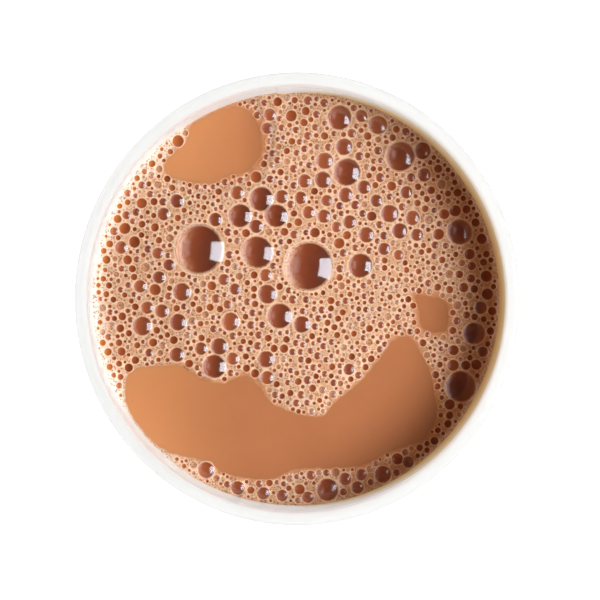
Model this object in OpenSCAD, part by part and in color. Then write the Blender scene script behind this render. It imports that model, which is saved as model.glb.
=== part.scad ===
// A paper cup of milky spiced tea, with the froth of bubbles on its surface.
// Millimetres, +Z up. The origin is the centre of the foot, on the table.
// The glued seam of the cup faces +Y.

/* [Cup] */
// Diameter across the rolled rim
rim_d = 80; // [66:1:96]
// Height from the table to the top of the rim
cup_h = 92; // [74:1:112]
// Diameter of the foot
foot_d = 56; // [46:1:62]
// Thickness of one layer of paperboard
paper_t = 0.5; // [0.35:0.05:0.6]
// Thickness of the roll that makes the rim
roll_d = 2.3; // [1.9:0.1:3.5]
// Gap between the end of the roll and the wall
roll_gap = 0.15; // [0.05:0.05:0.25]
// Width of the glued overlap down the side
seam_w = 7; // [4:0.5:12]
// How far the overlap stands out from the wall
seam_t = 0.35; // [0.2:0.05:0.6]

/* [Foot] */
// Height of the bottom disc's underside above the table
recess_h = 7; // [5:0.5:12]
// Gap between the folded hem and the bottom disc
hem_gap = 0.8; // [0.4:0.1:2]

/* [Tea] */
// Depth of the tea's surface below the top of the rim
level_drop = 9; // [7:0.5:40]

/* [Froth] */
// Thickness of the froth between its large bubbles
froth_t = 0.8; // [0.5:0.1:1.5]
// Height of a bubble's dome as a share of its radius
dome_rise = 0.37; // [0.25:0.01:0.6]
// How deep a dome is rooted in the froth
dome_root = 0.2; // [0.1:0.1:0.4]

/* [Hidden] */
$fn = 96;

// The roll: its radius and its centre in the section of the wall
roll_r = roll_d / 2;
roll_x = rim_d / 2 - roll_r;
roll_z = cup_h - roll_r;
// The wall runs straight from the foot's edge and meets the roll at a tangent
wall_reach = norm([roll_x - foot_d / 2, roll_z]);
lean = atan2(roll_x - foot_d / 2, roll_z) - asin((roll_r - paper_t) / wall_reach);
// Angle, past the tangent, over which the roll is open next to the wall
open_angle = acos((roll_r - paper_t - roll_gap) / roll_r);
weld_angle = 2;

hem_h = recess_h - hem_gap;
tea_floor = recess_h + paper_t;
level = cup_h - level_drop;
froth_top = level + froth_t;
seam_top = roll_z - roll_r;
seam_angle = seam_w / wall_r(level, 0) * 180 / PI;

// The froth's pattern is laid out on a surface of this radius, and follows the real one
pattern_r = 36.8;
pattern_scale = wall_r(level, 1) / pattern_r;
curve_steps = 4;

// Large bubbles: [x, y, radius]
BUBBLES = [
    [-17.5, 9, 4.6], [2, 6, 4.6], [-7.1, 8.4, 3], [11.5, 6, 2.2], [9, 22.7, 2.4],
    [18.5, 25.5, 2.8], [7.8, 32, 2.2], [29.2, 12, 2.3], [31.4, -6, 1.9], [29.8, -15.6, 2.6],
    [5.5, -34, 1.8], [-16, -30.2, 2.2], [-6.1, 18, 2.2], [-10, 15, 2], [-3.5, 15, 2],
    [-2.7, -3, 2.3], [-14.5, -11.6, 2]
];

// Where the froth has drawn back and the tea is bare: corners of three smooth outlines
BARE_TOP = [
    [-23, 25], [-22.3, 21.8], [-16.5, 20.6], [-12.5, 21.8], [-8, 23.3], [-6.2, 27],
    [-7.6, 33], [-14, 32.6], [-19.2, 29.4], [-20.4, 26.8]
];
BARE_RIGHT = [[22.4, 0.4], [25.6, 0.3], [27.6, -2.4], [26.4, -5.8], [24, -5.6], [22, -3]];
BARE_BOTTOM = [
    [-29.4, -12.6], [-22, -12], [-17.6, -13.8], [-12, -14.8], [-7.6, -14.6], [-3, -18.8],
    [0.4, -20.4], [5, -20.4], [8, -17], [13, -12.6], [18, -7], [21, -8], [24.2, -14],
    [24.4, -20], [22, -24], [15, -28], [7, -29.6], [0, -29.6], [-5, -31.6], [-12, -29.8],
    [-20, -28.2], [-25.6, -23.6], [-29.8, -19]
];

// Radius of the cup at height z, after n layers of board counted in from the outside
function wall_r(z, n) = foot_d / 2 + z * tan(lean) - n * paper_t / cos(lean);

// A smooth closed curve through all the corners of an outline
function curve_point(p, i, t) =
    let (n = len(p), a = p[(i + n - 1) % n], b = p[i], c = p[(i + 1) % n], d = p[(i + 2) % n])
    0.5 * (2 * b + (c - a) * t + (2 * a - 5 * b + 4 * c - d) * t * t
        + (3 * b - a - 3 * c + d) * t * t * t);
function smooth_outline(p) = [
    for (i = [0 : len(p) - 1], s = [0 : curve_steps - 1]) curve_point(p, i, s / curve_steps)
];

// The space inside the cup's wall between two heights
module cup_inside(z0, z1)
    translate([0, 0, z0])
        cylinder(h = z1 - z0, r1 = wall_r(z0, 1), r2 = wall_r(z1, 1));

// The rim in section: a roll of board, open where its end turns back to the wall
module roll_section()
    translate([roll_x, roll_z])
        difference() {
            circle(r = roll_r);
            circle(r = roll_r - paper_t);
            polygon([
                [0, 0],
                for (a = [weld_angle, open_angle / 2, open_angle])
                    2 * roll_r * [cos(180 - lean + a), sin(180 - lean + a)]
            ]);
        }

// The wall in section, from the rim's tangent down to the hem folded up inside the foot
module wall_section() {
    inward = [-cos(lean), sin(lean)];
    roll_centre = [roll_x, roll_z];
    polygon([
        [wall_r(0, 0), 0],
        roll_centre + (roll_r - paper_t) * inward,
        roll_centre + roll_r * inward,
        [wall_r(paper_t, 1), paper_t],
        [wall_r(paper_t, 2), paper_t],
        [wall_r(hem_h, 2), hem_h],
        [wall_r(hem_h, 3), hem_h],
        [wall_r(0, 3), 0]
    ]);
}

// The second layer of board where the blank's edges are glued over each other
module seam_section()
    polygon([
        [wall_r(0, 0.5), 0],
        [wall_r(0, 0) + seam_t, 0],
        [wall_r(seam_top, 0) + seam_t, seam_top],
        [wall_r(seam_top, 0.5), seam_top]
    ]);

module cup_wall()
    color("white") {
        rotate_extrude() {
            roll_section();
            wall_section();
        }
        rotate([0, 0, 90 - seam_angle / 2])
            rotate_extrude(angle = seam_angle)
                seam_section();
    }

// The bottom disc, with its skirt turned down between the wall and the hem
module cup_base()
    color("whitesmoke")
        rotate_extrude()
            polygon([
                [0, recess_h],
                [wall_r(recess_h, 2), recess_h],
                [wall_r(paper_t, 2), paper_t],
                [wall_r(paper_t, 1), paper_t],
                [wall_r(tea_floor, 1), tea_floor],
                [0, tea_floor]
            ]);

module chai()
    color([0.76, 0.48, 0.31])
        cup_inside(tea_floor, level);

// One bubble: a shallow dome rooted in the froth
module bubble(spot) {
    radius = spot[2] * pattern_scale;
    rise = radius * dome_rise;
    ball_r = (radius * radius + rise * rise) / (2 * rise);
    translate([spot[0] * pattern_scale, spot[1] * pattern_scale, froth_top])
        intersection() {
            translate([0, 0, rise - ball_r])
                sphere(r = ball_r);
            translate([0, 0, -dome_root])
                cylinder(h = rise + 2 * dome_root, r = radius + dome_root);
        }
}

module bare_patch(outline)
    translate([0, 0, level - froth_t])
        linear_extrude(height = 3 * froth_t)
            polygon(pattern_scale * smooth_outline(outline));

module froth()
    color([0.93, 0.78, 0.66])
        intersection() {
            union() {
                difference() {
                    cup_inside(level, froth_top);
                    bare_patch(BARE_TOP);
                    bare_patch(BARE_RIGHT);
                    bare_patch(BARE_BOTTOM);
                }
                for (spot = BUBBLES) bubble(spot);
            }
            cup_inside(level, cup_h);
        }

cup_wall();
cup_base();
chai();
froth();
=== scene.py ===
"""A paper cup of milky spiced tea under a froth of bubbles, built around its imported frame.

Lengths are metres. The cup stands on the table at z = 0, its axis on Z and its glued seam towards +Y.
"""
import math
import random

import bpy
from mathutils import Matrix, Vector, noise
from mathutils.geometry import delaunay_2d_cdt
from mathutils.kdtree import KDTree


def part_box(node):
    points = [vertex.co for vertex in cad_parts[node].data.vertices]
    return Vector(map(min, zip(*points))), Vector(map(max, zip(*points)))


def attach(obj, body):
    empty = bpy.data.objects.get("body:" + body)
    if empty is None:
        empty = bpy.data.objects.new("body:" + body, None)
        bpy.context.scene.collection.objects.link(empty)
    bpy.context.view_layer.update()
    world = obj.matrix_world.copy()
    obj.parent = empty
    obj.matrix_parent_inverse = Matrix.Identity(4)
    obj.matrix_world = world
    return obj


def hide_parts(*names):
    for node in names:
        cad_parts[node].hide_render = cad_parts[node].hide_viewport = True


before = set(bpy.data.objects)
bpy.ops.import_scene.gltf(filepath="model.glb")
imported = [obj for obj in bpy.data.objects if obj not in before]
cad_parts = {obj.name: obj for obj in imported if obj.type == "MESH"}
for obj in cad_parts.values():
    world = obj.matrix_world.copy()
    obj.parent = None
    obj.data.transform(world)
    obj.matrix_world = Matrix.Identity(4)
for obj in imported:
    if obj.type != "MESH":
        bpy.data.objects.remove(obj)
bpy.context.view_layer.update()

bl_info = {
    "name": "Cup of frothy tea",
    "version": (1, 0, 0),
    "blender": (4, 5, 0),
    "location": "3D View > Sidebar > Tea",
    "description": "Builds a paper cup, its milky tea, the froth and the films of its bubbles",
    "category": "Add Mesh",
}

WALL_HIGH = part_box("cup_wall")[1]
BASE_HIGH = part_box("cup_base")[1]
TEA_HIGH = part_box("chai")[1]

MM = 0.001
ROOT_BODY = "root"
TAU = 2 * math.pi

# Heights and radii that the frame gives
RIM_RADIUS = WALL_HIGH[0]
RIM_TOP = WALL_HIGH[2]
BASE_TOP = BASE_HIGH[2]
LEVEL = TEA_HIGH[2]
TEA_RADIUS = TEA_HIGH[0]

# Steps round the cup's pieces, and the half width and fade of the glued overlap, in degrees
WALL_ROUNDS = 360
BASE_ROUNDS = 180
FROTH_ROUNDS = 360
TEA_ROUNDS = 180
SEAM_HALF = 5.4
SEAM_FADE = 16.0

# Rounds of filling the gaps with small bubbles: least and greatest radius in millimetres, and tries
FILLING = (
    (0.95, 1.25, 500), (0.78, 1.0, 900), (0.62, 0.82, 2000), (0.48, 0.66, 4500), (0.38, 0.52, 9000),
    (0.30, 0.40, 12000),
)

# Films by size: piece, least radius in millimetres, mirror's gain and roughness
FILM_KINDS = (
    ("large_films", 2.15, 3.1, 0.13), ("medium_films", 1.2, 3.0, 0.21), ("small_films", 0.0, 2.6, 0.30),
)

# How far the triangulation may move a point, in millimetres
MERGE = 1e-5

# The froth's large bubbles, in millimetres: x, y and radius of the film
LARGE_BUBBLES = (
    (-17.6, 9.0, 4.6), (2.0, 6.0, 4.6), (-7.2, 8.5, 3.0), (11.3, 6.1, 2.3), (8.9, 22.8, 2.6),
    (18.5, 25.6, 2.8), (7.6, 32.5, 2.3), (14.5, 31.2, 1.8), (11.5, 32.8, 1.2), (22.5, 26.6, 1.6),
    (29.2, 12.1, 2.4), (31.8, -6.0, 2.1), (30.4, -16.0, 2.9), (5.5, -34.4, 2.1), (-16.8, -31.2, 2.0),
    (-6.5, 18.0, 2.3), (-10.3, 15.0, 2.2), (-3.8, 15.0, 2.2), (4.9, 24.8, 1.6), (4.6, 21.4, 1.6),
    (8.4, 27.3, 1.6), (-3.2, -2.9, 2.4), (0.8, -4.4, 1.6), (-5.4, 1.0, 1.8), (-20.7, 1.4, 1.7),
    (-27.8, -4.7, 1.8), (-21.4, -4.0, 1.6), (-12.0, -3.9, 1.7), (-14.9, -11.9, 2.2), (-14.0, -8.3, 1.6),
    (-5.6, -10.6, 1.6), (-5.4, -13.9, 1.3), (-21.6, -9.8, 1.4), (16.6, 15.4, 1.7), (20.7, 14.6, 1.4),
    (18.4, 12.3, 1.5), (12.4, 11.6, 1.5), (8.7, 18.7, 1.4), (9.3, -12.4, 1.1), (15.6, -31.6, 1.6),
    (6.9, -30.8, 1.2), (11.5, -31.2, 1.1), (18.0, -28.4, 1.1), (-10.7, -33.6, 1.3), (-21.4, 28.3, 1.2),
    (-4.9, 33.0, 1.2), (-5.4, 30.6, 1.1), (-1.1, 32.8, 1.1), (-24.0, 15.3, 1.2), (-21.6, 17.6, 1.3),
    (-14.7, 14.3, 1.3), (-10.8, 19.1, 1.3), (-7.4, 13.1, 1.3), (-7.4, 21.9, 1.1), (1.3, 21.2, 1.3),
    (4.8, 14.9, 1.3), (-31.6, 9.3, 1.2), (-30.9, 12.7, 1.1), (-24.3, -2.0, 1.3), (34.0, 4.2, 1.1),
    (34.2, 1.0, 1.1), (33.0, -1.4, 1.2), (-2.8, 18.4, 1.3), (9.4, 13.9, 1.3), (21.5, 11.6, 1.2),
    (15.6, 9.1, 1.2), (18.2, 8.0, 1.0), (14.2, 17.7, 1.2), (12.0, 20.1, 1.3), (5.3, 17.7, 1.1),
    (2.0, 15.6, 1.2), (0.6, 18.2, 1.2), (-24.8, 4.0, 1.2), (-28.2, 2.4, 1.2), (-25.5, 1.8, 1.1),
    (-26.9, -1.4, 1.2), (-29.2, 10.3, 1.1), (-25.0, 8.3, 1.1), (-23.0, 6.2, 1.1), (-27.9, 17.2, 1.0),
    (-11.6, -10.5, 1.2), (-17.3, -8.7, 1.2), (-5.7, 4.4, 1.2), (-13.2, 3.6, 1.1), (-11.2, 1.9, 1.1),
    (22.8, 22.3, 1.3), (19.6, 19.2, 1.2), (25.4, 11.7, 1.1), (28.4, 15.9, 1.1), (26.4, 15.3, 1.0),
    (28.0, -11.7, 1.1), (30.3, -11.7, 0.9), (32.2, -11.6, 1.0), (28.1, -9.0, 1.0), (27.4, -18.7, 1.0),
    (24.9, -13.4, 1.0), (25.2, -15.5, 0.9), (20.0, -29.1, 1.1), (10.8, -33.5, 1.2), (8.6, -32.0, 1.2),
    (1.9, -35.2, 1.1), (-2.7, -34.9, 1.1), (0.4, -33.8, 1.0), (-6.1, -34.5, 1.2), (-6.9, -32.8, 1.0),
)

# Outlines, in millimetres, of the places where the froth has drawn back and the tea is bare
BARE_TOP = (
    (-23.4, 24.6), (-22.6, 22.0), (-18.6, 21.2), (-15.2, 20.9), (-12.2, 22.4), (-8.4, 23.4),
    (-6.4, 26.6), (-7.2, 31.4), (-9.6, 34.2), (-12.8, 33.9), (-16.0, 32.6), (-18.9, 31.0),
    (-19.8, 28.2),
)
BARE_RIGHT = (
    (21.4, 0.7), (24.0, 0.6), (26.3, -0.2), (27.2, -3.1), (26.7, -5.5), (24.6, -5.8), (22.5, -4.9),
    (21.9, -2.0),
)
BARE_BOTTOM = (
    (-29.6, -12.8), (-26.0, -12.0), (-20.6, -12.0), (-17.8, -13.8), (-13.6, -15.0), (-9.6, -13.6),
    (-6.8, -15.6), (-4.6, -18.4), (0.0, -20.4), (4.6, -20.8), (6.8, -18.2), (10.8, -15.2),
    (14.8, -10.6), (17.4, -7.2), (20.2, -6.8), (22.4, -10.0), (24.0, -13.4), (24.8, -17.6),
    (24.8, -21.4), (22.6, -25.0), (17.6, -26.6), (12.2, -29.4), (6.0, -30.0), (-0.4, -30.2),
    (-5.4, -32.0), (-13.0, -30.9), (-15.8, -28.7), (-18.6, -28.2), (-24.6, -26.2), (-29.6, -20.6),
    (-30.8, -16.6),
)

# How coarse the froth is around a spot: x, y in millimetres, then 0 for the finest to 1
GRAIN_SPOTS = (
    (-34.0, 3.0, 0.30), (-30.0, 8.0, 0.70), (-27.0, -3.0, 0.75), (-31.0, -10.0, 0.55), (-18.0, 18.0, 0.25),
    (-27.0, 20.0, 0.50), (-8.0, 17.0, 0.80), (2.0, 25.0, 0.45), (-3.0, 28.0, 0.35), (0.0, 34.0, 0.60),
    (-8.0, 2.0, 0.60), (-14.0, -8.0, 0.60), (-20.0, -3.0, 0.45), (-4.0, -12.0, 0.55), (4.0, -8.0, 0.42),
    (12.0, -4.0, 0.36), (10.0, 12.0, 0.75), (18.0, 2.0, 0.28), (16.0, 20.0, 0.55), (24.0, 20.0, 0.55),
    (22.0, 7.0, 0.26), (28.0, 8.0, 0.50), (29.0, -2.0, 0.55), (33.5, 6.0, 0.85), (31.0, 18.0, 0.80),
    (25.0, -9.0, 0.40), (32.0, -12.0, 0.80), (26.0, -20.0, 0.55), (18.0, -30.0, 0.80), (2.0, -33.5, 0.80),
    (-12.0, -32.5, 0.65), (-27.0, -24.5, 0.25), (-33.0, -12.0, 0.35), (0.0, -18.0, 0.45),
    (-12.0, 30.0, 0.30),
)

# How wide the froth fades out into the bare tea: x, y and width in millimetres
EDGE_SPOTS = (
    (-8.0, 29.0, 3.0), (-10.0, 22.0, 2.8), (-16.0, 20.5, 1.6), (-23.0, 23.0, 0.8), (-16.0, 33.0, 1.0),
    (-28.0, -12.0, 0.7), (-16.0, -13.0, 0.8), (-8.0, -15.0, 1.3), (0.0, -20.0, 0.7), (9.0, -16.0, 0.8),
    (19.0, -6.5, 1.2), (24.0, -14.0, 2.0), (24.0, -23.0, 2.4), (12.0, -30.0, 1.0), (-4.0, -31.5, 0.8),
    (-22.0, -27.5, 0.6), (-30.5, -18.0, 0.5), (22.0, -2.0, 1.9), (27.0, -4.0, 2.2),
)


# ---------------------------------------------------------------------------- settings

class CupSettings(bpy.types.PropertyGroup):
    foot_radius: bpy.props.FloatProperty(
        name="Foot radius", description="Outer radius of the foot", default=28.0 * MM,
        subtype="DISTANCE", unit="LENGTH")
    board: bpy.props.FloatProperty(
        name="Board", description="Thickness of one layer of paperboard", default=0.5 * MM,
        subtype="DISTANCE", unit="LENGTH")
    roll: bpy.props.FloatProperty(
        name="Roll", description="Thickness of the rolled rim", default=2.3 * MM,
        subtype="DISTANCE", unit="LENGTH")
    oval: bpy.props.FloatProperty(
        name="Oval", description="Share by which the mouth is squeezed along X", default=0.009,
        subtype="FACTOR")
    paper: bpy.props.FloatVectorProperty(
        name="Paper", description="Colour of the coated paperboard", default=(0.72, 0.72, 0.71),
        subtype="COLOR", size=3)
    # Tea staining and painted shade: this brown also stands for the shadow and the tea-coloured light on
    # the inner wall on the window's side.
    stain_and_shade: bpy.props.FloatVectorProperty(
        name="Stain", description="What the tea that has wetted the wall lets through",
        default=(0.57, 0.28, 0.082), subtype="COLOR", size=3)


class TeaSettings(bpy.types.PropertyGroup):
    colour: bpy.props.FloatVectorProperty(
        name="Tea", description="Colour of the bare tea", default=(0.450, 0.172, 0.073),
        subtype="COLOR", size=3)
    roughness: bpy.props.FloatProperty(
        name="Roughness", description="Roughness of the wet surface", default=0.16, subtype="FACTOR")


class FrothSettings(bpy.types.PropertyGroup):
    thickness: bpy.props.FloatProperty(
        name="Thickness", description="Height of the froth above the tea", default=0.5 * MM,
        subtype="DISTANCE", unit="LENGTH")
    depth: bpy.props.FloatProperty(
        name="Depth", description="How far the froth's body reaches below the tea's level",
        default=2.3 * MM, subtype="DISTANCE", unit="LENGTH")
    pale: bpy.props.FloatVectorProperty(
        name="Froth", description="Colour of the froth between its bubbles",
        default=(0.605, 0.367, 0.224), subtype="COLOR", size=3)
    lip: bpy.props.FloatVectorProperty(
        name="Lip", description="Colour of the froth pulled up round a bubble",
        default=(0.77, 0.54, 0.39), subtype="COLOR", size=3)
    wash: bpy.props.FloatVectorProperty(
        name="Wash", description="Colour of the froth where it thins out over the tea",
        default=(0.50, 0.195, 0.08), subtype="COLOR", size=3)
    # Dried froth at the wall and painted light: paler froth only along the wall away from the window, which
    # the window lights.
    dry_and_painted_light: bpy.props.FloatVectorProperty(
        name="Dry froth", description="Colour of the fine froth that clings to the wall",
        default=(0.73, 0.60, 0.50), subtype="COLOR", size=3)
    # Painted shade: the dark brown that the froth takes in the shadow of the wall on the window's side.
    painted_far_shade: bpy.props.FloatVectorProperty(
        name="Brim", description="Colour of the froth where it is thinnest, along the far wall",
        default=(0.30, 0.090, 0.020), subtype="COLOR", size=3)
    well: bpy.props.FloatVectorProperty(
        name="Well", description="Colour of the tea seen through a bubble",
        default=(0.205, 0.043, 0.014), subtype="COLOR", size=3)
    seed: bpy.props.IntProperty(
        name="Seed", description="Seed of the small bubbles' places", default=7)
    smallest_film: bpy.props.FloatProperty(
        name="Smallest film", description="Bubbles under this radius get no film of their own",
        default=0.42 * MM, subtype="DISTANCE", unit="LENGTH")


class StageSettings(bpy.types.PropertyGroup):
    light_radiance: bpy.props.FloatProperty(
        name="Window", description="Brightness of the large window light", default=10.8)
    paper_share: bpy.props.FloatProperty(
        name="Window on paper", description="Share of the window's light that falls on the cup itself",
        default=0.305, subtype="FACTOR")
    overhead: bpy.props.FloatProperty(
        name="Overhead", description="Brightness of the soft light from above on the cup itself",
        default=0.48)
    sides: bpy.props.FloatProperty(
        name="Sides", description="Brightness of the two soft lights beside the cup itself", default=3.4)
    fill: bpy.props.FloatProperty(
        name="Fill", description="Brightness of the ceiling", default=0.10)
    reflector: bpy.props.FloatProperty(
        name="Reflector", description="Brightness of the pale screen across from the window", default=2.6)
    horizon: bpy.props.FloatProperty(
        name="Horizon", description="Brightness of the pale walls of the room, low down", default=0.42)
    camera_height: bpy.props.FloatProperty(
        name="Camera height", description="Distance from the rim to the camera", default=0.6,
        subtype="DISTANCE", unit="LENGTH")


# ---------------------------------------------------------------------------- small tools

def new_piece(name, verts, faces, replaces=()):
    """Make a smooth mesh object that rides on the cup."""
    mesh = bpy.data.meshes.new(name)
    mesh.from_pydata(verts, [], faces)
    mesh.validate()
    mesh.shade_smooth()
    mesh.set_sharp_from_angle(angle=math.radians(60))
    piece = bpy.data.objects.new(name, mesh)
    bpy.context.scene.collection.objects.link(piece)
    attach(piece, ROOT_BODY)
    for node in replaces:
        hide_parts(node)
    return piece


def add_values(mesh, name, values):
    """Store one number for each vertex, for the materials to read."""
    layer = mesh.attributes.new(name, "FLOAT", "POINT")
    layer.data.foreach_set("value", values)


def smooth_step(low, high, value):
    share = min(1.0, max(0.0, (value - low) / (high - low)))
    return share * share * (3.0 - 2.0 * share)


def smooth_outline(corners, step):
    """A closed smooth curve through the corners, as points about one step apart."""
    points = []
    count = len(corners)
    for i in range(count):
        before, here, after, beyond = (Vector(corners[(i + k) % count]) for k in (-1, 0, 1, 2))
        pieces = max(2, round((after - here).length / step))
        for k in range(pieces):
            t = k / pieces
            points.append(0.5 * (2 * here + (after - before) * t
                                 + (2 * before - 5 * here + 4 * after - beyond) * t ** 2
                                 + (3 * here - before - 3 * after + beyond) * t ** 3))
    return points


def inside(outline, x, y):
    """Whether a point lies inside a closed outline."""
    crossed = False
    ax, ay = outline[-1]
    for bx, by in outline:
        if (ay > y) != (by > y) and x < (bx - ax) * (y - ay) / (by - ay) + ax:
            crossed = not crossed
        ax, ay = bx, by
    return crossed


def band(faces, first, second):
    """Four-sided faces between two closed loops of vertices."""
    for k in range(len(first)):
        n = (k + 1) % len(first)
        faces.append((first[k], first[n], second[n], second[k]))


def fan(faces, loop, tip):
    """Triangles from a closed loop of vertices to one point."""
    for k in range(len(loop)):
        faces.append((loop[k], loop[(k + 1) % len(loop)], tip))


def sheet(verts, rim, holes):
    """Flat triangles that fill a rim, apart from its holes."""
    order = rim + [i for hole in holes for i in hole]
    place = {i: k for k, i in enumerate(order)}
    found = delaunay_2d_cdt([Vector(verts[i][:2]) for i in order], [],
                            [[place[i] for i in hole] for hole in holes], 0, MERGE, True)
    return [tuple(order[found[3][i][0]] for i in triangle)
            for triangle, owner in zip(found[2], found[5]) if not owner]


def turning(points):
    """Twice the area that a closed outline turns round, positive anticlockwise."""
    return sum(a[0] * b[1] - b[0] * a[1] for a, b in zip(points[-1:] + points[:-1], points))


def oval_point(x, y, z, share):
    """Squeeze the mouth a little along X and let it out along Y, and leave the foot round."""
    amount = share * z / RIM_TOP
    return (x * (1.0 - amount), y * (1.0 + amount), z)


# ---------------------------------------------------------------------------- shader tools

def start_material(name):
    material = bpy.data.materials.new(name)
    material.use_nodes = True
    tree = material.node_tree
    tree.nodes.clear()
    output = tree.nodes.new("ShaderNodeOutputMaterial")
    return material, tree, output


def add_node(tree, kind, **settings):
    node = tree.nodes.new(kind)
    for name, value in settings.items():
        setattr(node, name, value)
    return node


def link(tree, source, target):
    tree.links.new(source, target)


def maths(tree, operation, first, second=None, clamp=False):
    node = add_node(tree, "ShaderNodeMath", operation=operation, use_clamp=clamp)
    for socket, value in zip(node.inputs, (first, second)):
        if value is None:
            continue
        if isinstance(value, (int, float)):
            socket.default_value = value
        else:
            link(tree, value, socket)
    return node.outputs[0]


def product(tree, *values):
    """Several numbers or sockets multiplied together."""
    result = values[0]
    for value in values[1:]:
        result = maths(tree, "MULTIPLY", result, value)
    return result


def blend_colours(tree, share, first, second):
    node = add_node(tree, "ShaderNodeMix", data_type="RGBA")
    for socket, value in ((node.inputs[0], share), (node.inputs[6], first), (node.inputs[7], second)):
        if isinstance(value, bpy.types.NodeSocket):
            link(tree, value, socket)
        elif isinstance(value, (int, float)):
            socket.default_value = value
        else:
            socket.default_value = (*value[:3], 1.0)
    return node.outputs[2]


def spread(tree, value, low, high, new_low=0.0, new_high=1.0):
    node = add_node(tree, "ShaderNodeMapRange", interpolation_type="SMOOTHSTEP")
    link(tree, value, node.inputs["Value"])
    node.inputs["From Min"].default_value = low
    node.inputs["From Max"].default_value = high
    node.inputs["To Min"].default_value = new_low
    node.inputs["To Max"].default_value = new_high
    return node.outputs["Result"]


def stored(tree, name):
    return add_node(tree, "ShaderNodeAttribute", attribute_name=name).outputs["Fac"]


def cloud_noise(tree, scale, detail):
    """Noise fixed to the piece, from about 0 to 1; the scale is a number or a socket."""
    cloud = add_node(tree, "ShaderNodeTexNoise")
    link(tree, add_node(tree, "ShaderNodeTexCoord").outputs["Object"], cloud.inputs["Vector"])
    if isinstance(scale, bpy.types.NodeSocket):
        link(tree, scale, cloud.inputs["Scale"])
    else:
        cloud.inputs["Scale"].default_value = scale
    cloud.inputs["Detail"].default_value = detail
    return cloud.outputs["Fac"]


def roughen(tree, shader, height, strength, distance):
    """Bump a shader's surface by a height from 0 to 1."""
    bump = add_node(tree, "ShaderNodeBump")
    bump.inputs["Strength"].default_value = strength
    bump.inputs["Distance"].default_value = distance
    link(tree, height, bump.inputs["Height"])
    link(tree, bump.outputs[0], shader.inputs["Normal"])


def start_group(name, inputs, outputs):
    """A node group with float or colour sockets, named in two lists."""
    group = bpy.data.node_groups.new(name, "ShaderNodeTree")
    for title, kind, default in inputs:
        socket = group.interface.new_socket(name=title, in_out="INPUT", socket_type=kind)
        socket.default_value = default
    for title, kind in outputs:
        group.interface.new_socket(name=title, in_out="OUTPUT", socket_type=kind)
    return group, group.nodes.new("NodeGroupInput"), group.nodes.new("NodeGroupOutput")


def dot_layer(group, place, scale, low, high):
    """Round spots in a plane, each of its own size: 1 in a spot, 0 between."""
    cells = add_node(group, "ShaderNodeTexVoronoi", feature="F1", voronoi_dimensions="2D")
    link(group, place, cells.inputs["Vector"])
    cells.inputs["Scale"].default_value = scale
    cells.inputs["Randomness"].default_value = 0.9
    chance = add_node(group, "ShaderNodeSeparateColor")
    link(group, cells.outputs["Color"], chance.inputs[0])
    reach = maths(group, "ADD", product(group, chance.outputs[0], high - low), low)
    return spread(group, maths(group, "SUBTRACT", reach, cells.outputs["Distance"]), -0.02, 0.10)


def fine_froth_group():
    """Bubbles too small to be shapes of their own as dark dots and a height, with painted highlights as
    bright dots.
    """
    group, given, out = start_group(
        "fine_froth", [("Share", "NodeSocketFloat", 1.0)],
        [("Dots", "NodeSocketFloat"), ("Glints", "NodeSocketFloat"), ("Height", "NodeSocketFloat")])
    place = add_node(group, "ShaderNodeTexCoord").outputs["Object"]
    small = dot_layer(group, place, 2200.0, 0.14, 0.46)
    larger = dot_layer(group, place, 1300.0, -0.10, 0.40)
    dots = maths(group, "MAXIMUM", small, larger)
    # Painted highlights: bright dots for the glints of tiny bubbles.
    bright = dot_layer(group, place, 1700.0, -0.7, 0.40)
    strength = spread(group, cloud_noise(group, 300.0, 2.0), 0.25, 0.6, 0.6, 1.0)
    dots = product(group, dots, strength, given.outputs["Share"])
    link(group, dots, out.inputs["Dots"])
    link(group, product(group, bright, given.outputs["Share"]), out.inputs["Glints"])
    link(group, maths(group, "SUBTRACT", 1.0, dots), out.inputs["Height"])
    return group


def mottle_group():
    """Slow unevenness of a tone over a surface."""
    group, given, out = start_group(
        "mottle", [("Scale", "NodeSocketFloat", 100.0)], [("Value", "NodeSocketFloat")])
    cloud = cloud_noise(group, given.outputs["Scale"], 3.0)
    link(group, spread(group, cloud, 0.3, 0.7), out.inputs["Value"])
    return group


def place_group(tree, name, maker, **values):
    """Place a shared node group, built the first time it is wanted, with its own values."""
    node = add_node(tree, "ShaderNodeGroup", node_tree=bpy.data.node_groups.get(name) or maker())
    for name, value in values.items():
        node.inputs[name].default_value = value
    return node


def tinted(colour, red, green, blue):
    return (colour[0] * red, colour[1] * green, colour[2] * blue)


def principled(tree, output, roughness, ior, specular=0.5):
    shader = add_node(tree, "ShaderNodeBsdfPrincipled")
    shader.inputs["Roughness"].default_value = roughness
    shader.inputs["IOR"].default_value = ior
    shader.inputs["Specular IOR Level"].default_value = specular
    link(tree, shader.outputs[0], output.inputs["Surface"])
    return shader


def soften(shader, weight, radius, scale):
    shader.inputs["Subsurface Weight"].default_value = weight
    shader.inputs["Subsurface Radius"].default_value = radius
    shader.inputs["Subsurface Scale"].default_value = scale


# ---------------------------------------------------------------------------- materials

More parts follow.
